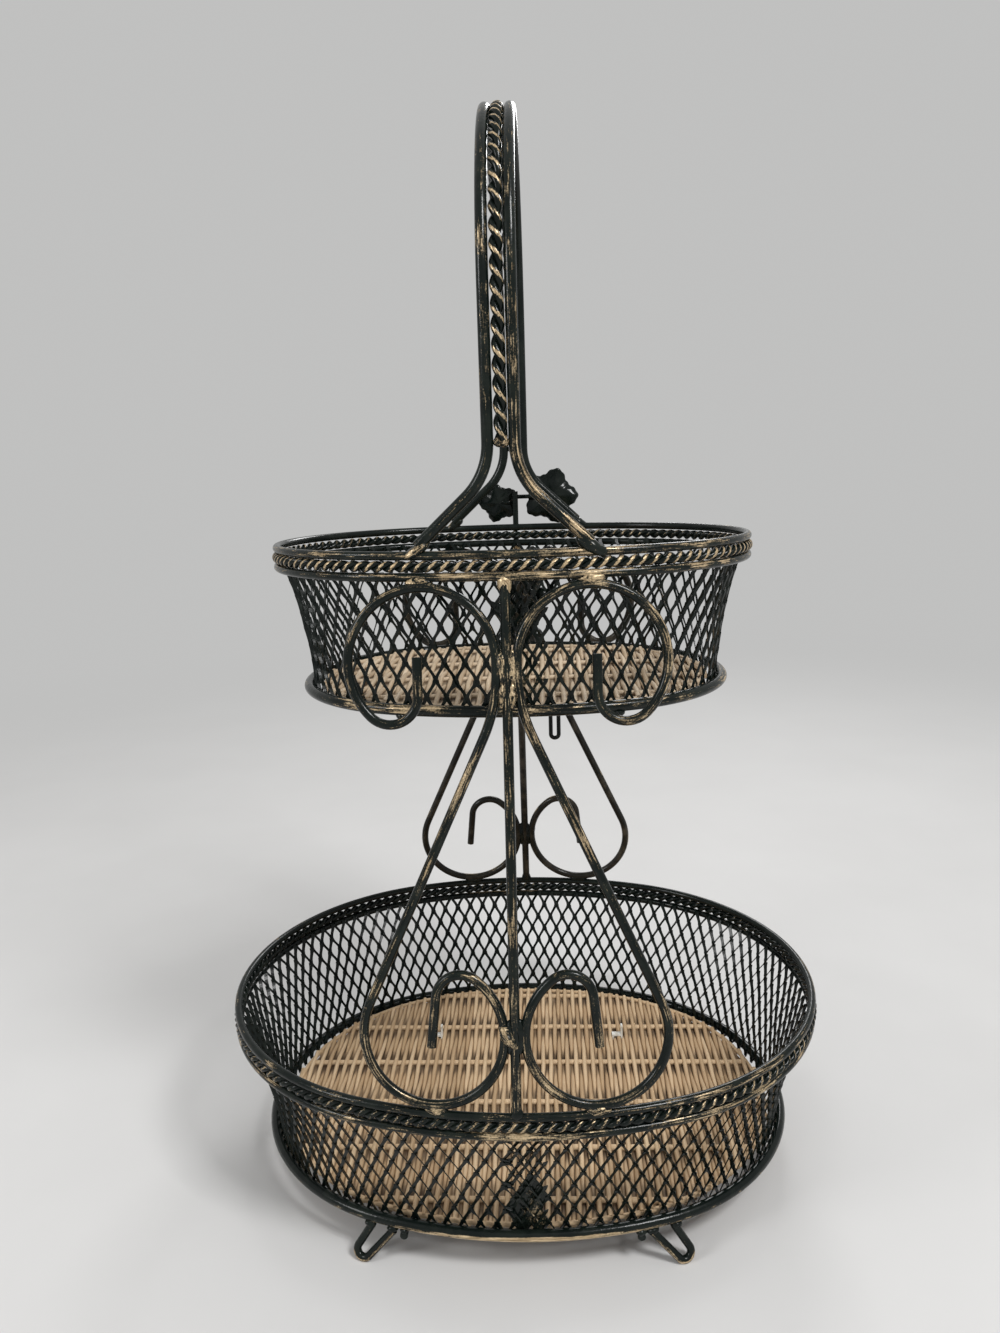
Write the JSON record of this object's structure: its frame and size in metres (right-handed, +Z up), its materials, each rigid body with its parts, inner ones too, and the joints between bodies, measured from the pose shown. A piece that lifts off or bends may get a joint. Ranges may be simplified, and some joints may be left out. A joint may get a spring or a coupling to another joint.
{
  "type": "tiered wire basket",
  "caption": "Dark green wire basket of two oval tiers with mesh walls, wicker mats, scroll supports and a twisted-wire handle.",
  "frame": {"origin": "on the floor, under the middle of the lower oval", "axes": "+Z up, +X along the long way of the ovals, +Y towards the side with the grape ornament"},
  "size_m": [0.2836, 0.2326, 0.4788],
  "materials": {
    "wire_paint": "satin, gold brushed over the high spots",
    "rope_paint": "satin, gold on the tops of the strands",
    "mesh_paint": "satin",
    "ornament_paint": "satin, gold brushed over the high spots",
    "wicker": "matt peeled cane",
    "tie_plastic": "matt"
  },
  "bodies": {
    "root": {"lower_rim_top_ring": "wire_paint", "lower_rim_under_ring": "wire_paint", "lower_base_ring": "wire_paint", "lower_cross_wires": "wire_paint", "upper_rim_top_ring": "wire_paint", "upper_rim_under_ring": "wire_paint", "upper_base_ring": "wire_paint", "upper_cross_wires": "wire_paint", "back_post": "wire_paint", "front_post": "wire_paint", "back_scroll_left": "wire_paint", "back_scroll_right": "wire_paint", "front_scroll_left": "wire_paint", "front_scroll_right": "wire_paint", "handle_wire_left": "wire_paint", "handle_wire_right": "wire_paint", "foot_back_left": "wire_paint", "foot_back_right": "wire_paint", "foot_front_left": "wire_paint", "foot_front_right": "wire_paint", "lower_rim_rope": "rope_paint", "upper_rim_rope": "rope_paint", "handle_rope": "rope_paint", "lower_mesh_wall": "mesh_paint", "upper_mesh_wall": "mesh_paint", "vine_stem": "ornament_paint", "grape_bunch": "ornament_paint", "leaf_upper_right": "ornament_paint", "leaf_upper_left": "ornament_paint", "leaf_low": "ornament_paint", "tendril": "ornament_paint", "lower_wicker_mat": "wicker", "upper_wicker_mat": "wicker", "lower_mat_ties": "tie_plastic"}
  },
  "joints": []
}
